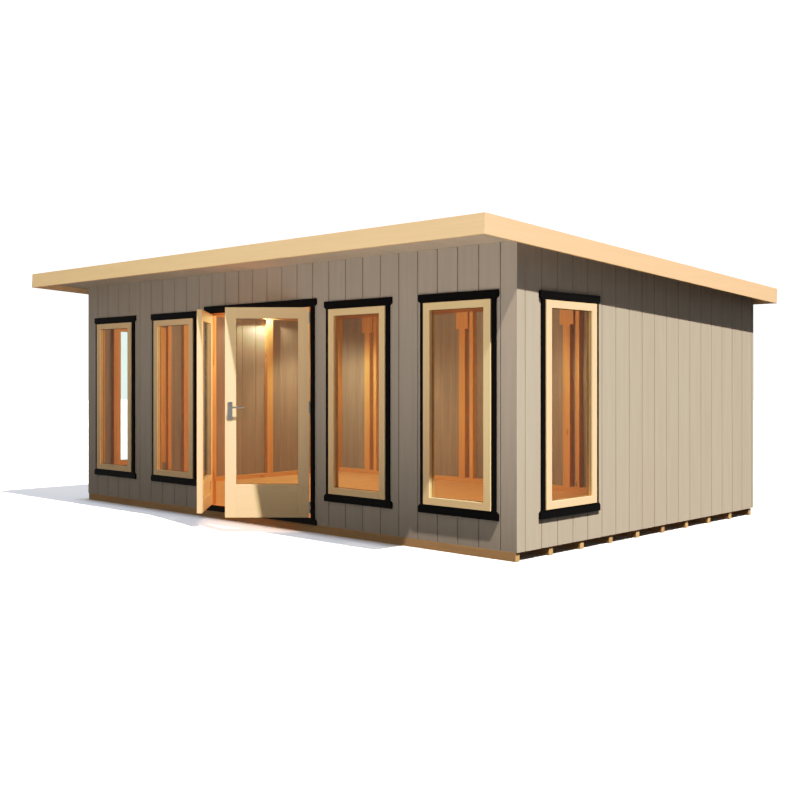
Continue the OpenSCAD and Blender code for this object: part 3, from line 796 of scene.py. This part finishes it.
def trim_set(piece, put, s0, s1, z0, z1, outs, width, head, foot, axis_s):
    """Side boards with a head and a sill board that stand past them in bevelled ears."""
    def plate(outline, axis):
        piece.prism(outline, outs, lambda s, z, out: put(s, out, z), axis)
    a0, a1 = s0 - width, s1 + width
    low, high = z0 + HAIR, z1 - HAIR
    plate([(a0, low), (s0, low), (s0, high), (a0, high)], 2)
    plate([(s1, low), (a1, low), (a1, high), (s1, high)], 2)
    e0, e1 = a0 - EAR, a1 + EAR
    plate([(a0, z1), (a1, z1), (e1, z1 + BEVEL), (e1, z1 + head), (e0, z1 + head), (e0, z1 + BEVEL)],
          axis_s)
    plate([(a0, z0), (e0, z0 - BEVEL), (e0, z0 - foot), (e1, z0 - foot), (e1, z0 - BEVEL), (a1, z0)],
          axis_s)


SIDES = {"front": ("front_window_frames", "front_window_glass", "front_window_trims"),
         "left": ("left_window_frame", "left_window_glass", "left_window_trim"),
         "right": ("right_window_frame", "right_window_glass", "right_window_trim")}
for side, (f_node, g_node, t_node) in SIDES.items():
    ax = 0 if side == "front" else 1
    put = facing_map(side)
    frame_p = Piece(f_node + "_joinery", CREAM, GASKET_AND_SLOT_SHADE, PINE)
    trim_p = Piece(t_node + "_boards", BLACK)
    def out_of(p):
        return front_y - p.y if side == "front" else abs(p.x) - half_w
    sets = list(zip(solids(f_node), solids(g_node), solids(t_node)))
    for i, (fb, gb, tb) in enumerate(sets):
        s0, s1, z0, z1 = fb[0][ax], fb[1][ax], fb[0].z, fb[1].z
        outs = sorted((out_of(fb[0]), out_of(fb[1])))
        g_outs = sorted((out_of(gb[0]), out_of(gb[1])))
        gs0, gs1, gz0, gz1 = gb[0][ax], gb[1][ax], gb[0].z, gb[1].z
        stile, rail = gs0 + SEAT - s0, gz0 + SEAT - z0
        framed(frame_p, put, s0, s1, z0, z1, (outs[0], sum(g_outs) / 2, outs[1]), stile, rail, ax)
        sight = (s0 + stile - 0.001, s1 - stile + 0.001, z0 + rail - 0.001, z1 - rail + 0.001)
        for face, way in ((g_outs[1], 1), (g_outs[0], -1)):
            swept_ring(frame_p, put, *sight, seal_at(face, way), 1)
        head, over = tb[1].z - z1, s0 - tb[0][ax]
        t_outs = sorted((out_of(tb[0]), out_of(tb[1])))
        trim_set(trim_p, put, s0, s1, z0, z1, t_outs, over - EAR, head, head, ax)
        name = g_node + ("_" + str(i + 1) if len(sets) > 1 else "") + "_unit"
        panes(name, put, gs0, gs1, gz0, gz1, sum(g_outs) / 2, g_outs[1] - g_outs[0], "building",
              (g_node,))
    frame_p.done("building", "cream_paint", (f_node,), edge=0.0016)
    trim_p.done("building", "black_paint", (t_node,), edge=0.0018)


# ---------------------------------------------------------------- doorway trim

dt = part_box("door_trim")
right_j, left_j = JOINTS["right_door_hinge"], JOINTS["left_door_hinge"]
OPEN = math.radians(-right_j["range_deg"][0])
RIGHT = Matrix.Translation(Vector((*right_j["pos_m"][:2], 0))) @ Matrix.Rotation(OPEN, 4, "Z")
LEFT = (Matrix.Translation(Vector((*left_j["pos_m"][:2], 0))) @ Matrix.Rotation(-OPEN, 4, "Z")
        @ Matrix.Scale(-1, 4, (1, 0, 0)))
leaf_lo, leaf_hi = solids("right_door_leaf", RIGHT.inverted())[0]
gap = -2 * leaf_hi.x
clear = right_j["pos_m"][0] + gap / 2
put = facing_map("front")
p = Piece("door_trim_boards", BLACK)
side_w = dt[1].x - clear - EAR
sill_z, head_z = leaf_lo.z - gap, leaf_hi.z + gap
trim_set(p, put, -clear - CUT_BACK, clear + CUT_BACK, sill_z, head_z,
         (front_y - dt[1].y, front_y - dt[0].y), side_w, dt[1].z - head_z, sill_z - dt[0].z, 0)
p.done("building", "black_paint", ("door_trim",), edge=0.0018)


# ---------------------------------------------------------------- door leaves

def door_leaf(side, turn):
    """One glazed leaf, in the closed leaf's own co-ordinates: x from the hinge, y inwards."""
    g_lo, g_hi = solids(side + "_door_glass", turn.inverted())[0]
    lo, hi = solids(side + "_door_leaf", turn.inverted())[0]
    stile = g_lo.x + SEAT - lo.x
    foot, top = g_lo.z + SEAT - lo.z, hi.z - (g_hi.z - SEAT)
    foot_rail, mid_rail = 0.116, 0.058
    x0, x1, y0, y1 = lo.x, hi.x - CUT_BACK, lo.y, hi.y
    in0, in1 = x0 + stile + HAIR, x1 - stile - HAIR
    y_panel = y1 - 0.009
    y_rails = y_panel + 0.0002
    p = Piece(side + "_door_joinery", CREAM, GASKET_AND_SLOT_SHADE)
    for a, b, axis in (((x0, y0, lo.z), (x0 + stile, y1, hi.z), 2),
                       ((x1 - stile, y0, lo.z), (x1, y1, hi.z), 2),
                       ((in0, y0, hi.z - top), (in1, y1, hi.z), 0),
                       ((in0, y0, lo.z), (in1, y_panel, lo.z + foot), 0),
                       ((in0, y_rails, lo.z), (in1, y1, lo.z + foot_rail), 0),
                       ((in0, y_rails, lo.z + foot - mid_rail), (in1, y1, lo.z + foot), 0)):
        p.box(a, b, axis, place=turn)

    def put(s, out, z):
        return turn @ Vector((s, out, z))
    sight = (x0 + stile - 0.001, x1 - stile + 0.001, lo.z + foot - 0.001, hi.z - top + 0.001)
    for face, way in ((g_lo.y, -1), (g_hi.y, 1)):
        swept_ring(p, put, *sight, seal_at(face, way), 1)
    p.done(side + "_door", "cream_paint", (side + "_door_leaf",), edge=0.0018)
    panes(side + "_door_unit", put, g_lo.x, g_hi.x, g_lo.z, g_hi.z, (g_lo.y + g_hi.y) / 2,
          g_hi.y - g_lo.y, side + "_door", (side + "_door_glass",))


door_leaf("right", RIGHT)
door_leaf("left", LEFT)

for node, body in (("hinges_on_frame", "building"), ("left_door_hinges", "left_door"),
                   ("right_door_hinges", "right_door")):
    p = Piece(node + "_metal", HINGE)
    p.from_node(node, axis=2)
    p.done(body, "hinge_metal", (node,), edge=0.0004, steps=2, angle=50)


# ---------------------------------------------------------------- handle

def ring_at(turn, centre, u, v, ru, rv, n=20, power=2.0):
    """Points of a rounded section about centre, spanned by u and v."""
    pts = []
    for k in range(n):
        a = 2 * math.pi * k / n
        c, s = math.cos(a), math.sin(a)
        e = 2.0 / power
        pts.append(turn @ (centre + u * (ru * math.copysign(abs(c) ** e, c))
                           + v * (rv * math.copysign(abs(s) ** e, s))))
    return pts


def rounded(half_x, half_z, r, n=6):
    """Corner-rounded rectangle as (x, z) points."""
    pts = []
    for cx, cz, a0 in ((1, 1, 0), (-1, 1, 90), (-1, -1, 180), (1, -1, 270)):
        for k in range(n + 1):
            a = math.radians(a0 + 90 * k / n)
            pts.append((cx * (half_x - r) + r * math.cos(a), cz * (half_z - r) + r * math.sin(a)))
    return pts


plates = solids("handle_plates", RIGHT.inverted())
lever = solids("door_lever", RIGHT.inverted())[0]
lever_pos = RIGHT.inverted() @ Vector(JOINTS["lever_turn"]["pos_m"])
door_out, door_in = leaf_lo.y, leaf_hi.y
X, Y, Z = Vector((1, 0, 0)), Vector((0, 1, 0)), Vector((0, 0, 1))
hp = Piece("handle_plates_metal", SATIN, SCREW, GASKET_AND_SLOT_SHADE)
for b_lo, b_hi in plates:
    outward = b_lo.y < door_out
    y_seat = door_out if outward else door_in
    sgn = -1 if outward else 1
    thick, screw_in = 0.008, 0.013
    cx, cz = (b_lo.x + b_hi.x) / 2, (b_lo.z + b_hi.z) / 2
    hx, hz = (b_hi.x - b_lo.x) / 2, (b_hi.z - b_lo.z) / 2
    rows = []
    for inset, y in ((0.0, 0.0), (0.0, thick * 0.55), (0.0012, thick * 0.85), (0.0035, thick)):
        rows.append([RIGHT @ Vector((cx + x * (hx - inset) / hx, y_seat + sgn * y,
                                     cz + z * (hz - inset) / hz))
                     for x, z in rounded(hx, hz, 0.006)])
    hp.tube(rows)
    for dz in (hz - screw_in, -hz + screw_in):
        c = Vector((cx, y_seat + sgn * thick, cz + dz))
        hp.tube([ring_at(RIGHT, c, X, Z, 0.0042, 0.0042, 16),
                 ring_at(RIGHT, c + Y * (sgn * 0.0010), X, Z, 0.0040, 0.0040, 16),
                 ring_at(RIGHT, c + Y * (sgn * 0.0016), X, Z, 0.0026, 0.0026, 16)], mat=1)
        # Thin dark crosses on the screw heads: painted shade in the slots.
        for u, v in ((X, Z), (Z, X)):
            hp.tube([ring_at(RIGHT, c + Y * (sgn * 0.00155), u, v, 0.0022, 0.0005, 8, 4),
                     ring_at(RIGHT, c + Y * (sgn * 0.00175), u, v, 0.0022, 0.0005, 8, 4)], mat=2)
    lock_z = b_lo.z + (hz - 0.050)
    c = Vector((cx, y_seat + sgn * thick, lock_z))
    hp.tube([ring_at(RIGHT, c - Y * (sgn * 0.002), X, Z, 0.0090, 0.0090, 24),
             ring_at(RIGHT, c + Y * (sgn * 0.0034), X, Z, 0.0090, 0.0090, 24),
             ring_at(RIGHT, c + Y * (sgn * 0.0040), X, Z, 0.0082, 0.0082, 24)])
    # A thin dark slab on the cylinder's face: painted shade in the keyway.
    hp.tube([ring_at(RIGHT, c + Y * (sgn * 0.0039), X, Z, 0.0011, 0.0046, 12, 4),
             ring_at(RIGHT, c + Y * (sgn * 0.00405), X, Z, 0.0011, 0.0046, 12, 4)], mat=2)
    rose = Vector((cx, y_seat + sgn * thick, lever_pos.z))
    hp.tube([ring_at(RIGHT, rose - Y * (sgn * 0.001), X, Z, 0.0150, 0.0150, 28),
             ring_at(RIGHT, rose + Y * (sgn * 0.0020), X, Z, 0.0145, 0.0145, 28),
             ring_at(RIGHT, rose + Y * (sgn * 0.0032), X, Z, 0.0120, 0.0120, 28)])
hp.done("right_door", "handle_metal", ("handle_plates",))

lp = Piece("door_lever_metal", SATIN)
l_lo, l_hi = lever
arm_end = l_hi.x
for sgn, y_seat, y_arm in ((-1, door_out, l_lo.y + 0.009), (1, door_in, l_hi.y - 0.009)):
    start = Vector((lever_pos.x, y_seat + sgn * 0.006, lever_pos.z))
    reach = abs(y_arm - start.y)
    bend = 0.016
    path = [(start, Y * sgn, 0.0090, 0.0090)]
    path.append((start + Y * (sgn * (reach - bend)), Y * sgn, 0.0088, 0.0088))
    for k in range(1, 7):
        a = math.radians(90 * k / 6)
        c = start + Y * (sgn * (reach - bend)) + X * (bend * (1 - math.cos(a))) \
            + Y * (sgn * bend * math.sin(a))
        d = X * math.sin(a) + Y * (sgn * math.cos(a))
        path.append((c, d, 0.0088 - 0.0012 * k / 6, 0.0088 - 0.0003 * k / 6))
    x_from = path[-1][0].x
    for k in range(1, 13):
        f = k / 12
        x = x_from + (arm_end - 0.002 - x_from) * f
        path.append((Vector((x, y_arm - sgn * 0.0025 * f * f, lever_pos.z)), X,
                     0.0076 - 0.0018 * f, 0.0085 - 0.0006 * f))
    tip_y = y_arm - sgn * 0.0026
    path.append((Vector((arm_end - 0.0008, tip_y, lever_pos.z)), X, 0.0046, 0.0066))
    path.append((Vector((arm_end, tip_y, lever_pos.z)), X, 0.0018, 0.0030))
    rows = []
    for c, d, flat_r, tall_r in path:
        side_v = d.cross(Z).normalized()
        rows.append(ring_at(RIGHT, c, side_v, Z, flat_r, tall_r, 24, 2.4))
    lp.tube(rows)
neck = [Vector((lever_pos.x, y, lever_pos.z)) for y in (door_out - 0.006, door_in + 0.006)]
lp.tube([ring_at(RIGHT, c, X, Z, 0.0088, 0.0088, 24) for c in neck])
lp.done("lever", "handle_metal", ("door_lever",))


# ---------------------------------------------------------------- stage, light and camera

me = bpy.data.meshes.new("ground")
bm = bmesh.new()
r = 60.0
ring = [bm.verts.new((r * math.cos(2 * math.pi * k / 64), r * math.sin(2 * math.pi * k / 64), 0.0))
        for k in range(64)]
bm.faces.new(ring)
bm.to_mesh(me)
bm.free()
ground = bpy.data.objects.new("ground", me)
bpy.context.scene.collection.objects.link(ground)
me.materials.append(plain_floor("ground_plain", (0.0, (front_y + back_y) / 2),
                                (half_w, (back_y - front_y) / 2)))

world = bpy.data.worlds.new("studio")
bpy.context.scene.world = world
world.use_nodes = True
w = Shader.__new__(Shader)
w.nt = world.node_tree
w.nt.nodes.clear()
w.out = w.node("ShaderNodeOutputWorld")
toward = w.node("ShaderNodeTexCoord").outputs["Generated"]


def lobe(direction, power):
    d = Vector(direction).normalized()
    dot = w.node("ShaderNodeVectorMath", {0: toward, 1: tuple(d)}, operation="DOT_PRODUCT")
    return w.math("POWER", w.math("MAXIMUM", dot.outputs["Value"], 0.0), power)


front = w.math("MULTIPLY", lobe((0.1, -0.96, 0.25), 3.0), 0.46)
behind = w.math("MULTIPLY", lobe((-0.62, 0.78, 0.20), 2.5), 1.3)
above = w.math("MULTIPLY", lobe((0, 0, 1), 1.0), 0.15)
level = w.math("ADD", w.math("ADD", w.math("ADD", front, behind), above), 0.05)
soft = w.node("ShaderNodeBackground", {"Color": (1.0, 0.96, 0.90, 1.0), "Strength": level})
white = w.node("ShaderNodeBackground", {"Color": (1, 1, 1, 1), "Strength": 1.6})
mirrored = w.node("ShaderNodeBackground", {"Color": SUNNY_FLOOR, "Strength": MIRRORED})
w.by_ray(soft, mirrored, white)


def lamp(name, kind, energy, colour, place=None, direction=None, **attrs):
    data = bpy.data.lights.new(name, kind)
    data.energy, data.color = energy, colour
    for k, v in attrs.items():
        setattr(data, k, v)
    o = bpy.data.objects.new(name, data)
    bpy.context.scene.collection.objects.link(o)
    if place is not None:
        o.location = place
    if direction is not None:
        o.rotation_euler = Vector(direction).to_track_quat("-Z", "Y").to_euler()
    o.visible_camera = o.visible_glossy = o.visible_transmission = False
    return o


lamp("sun", "SUN", 9.3, (1.0, 0.91, 0.82), direction=(-0.57, 0.12, -1.0), angle=math.radians(1.0))
WARM = (1.0, 0.80, 0.55)
for i, (x, watts) in enumerate(((-2.36, 50.0), (-0.71, 9.0), (0.83, 30.0), (2.40, 3.0))):
    lamp("spot_" + str(i), "SPOT", watts, WARM, place=(x + 0.10, back_y - 1.05, 1.90),
         direction=(0, 0.25, -1), spot_size=math.radians(150), spot_blend=0.6, shadow_soft_size=0.06)
for i, (x, y, watts) in enumerate(((-1.6, 1.3, 24.0), (0.2, 1.3, 70.0), (0.4, 0.45, 60.0),
                                   (1.8, 1.3, 5.0))):
    lamp("fill_" + str(i), "POINT", watts, (1.0, 0.80, 0.58),
         place=(x, front_y + y, 2.05), shadow_soft_size=0.12)

plate = max((b[1] for b in solids("side_wall_headers")), key=lambda hi: -hi.x)
lamp("spot_side", "SPOT", 80.0, (1.0, 0.84, 0.62), place=(plate.x + 0.040, front_y + 2.44, 2.20),
     direction=(0, 0, -1), spot_size=math.radians(160), spot_blend=0.4, shadow_soft_size=0.015)

cam_data = bpy.data.cameras.new("camera")
cam = bpy.data.objects.new("camera", cam_data)
bpy.context.scene.collection.objects.link(cam)
cam.location = (half_w + 4.824, front_y - 6.302, 1.352)
cam.rotation_euler = (math.radians(90), 0, math.radians(43.676))
cam_data.sensor_width = 36.0
cam_data.lens = 48.42
cam_data.shift_x = 0.001
cam_data.shift_y = -0.02715
cam_data.clip_end = 200.0
bpy.context.scene.camera = cam
tone = bpy.context.scene.view_settings
tone.view_transform = "Standard"
tone.use_curve_mapping = True
curves = tone.curve_mapping
curves.white_level = (1.3, 1.3, 1.3)
shoulder = curves.curves[3]
shoulder.points[1].location = (1.0, 1.0)
for x, y in ((0.125, 0.1625), (0.25, 0.325), (0.385, 0.50), (0.54, 0.63), (0.70, 0.745),
             (0.85, 0.87)):
    shoulder.points.new(x, y)
curves.update()
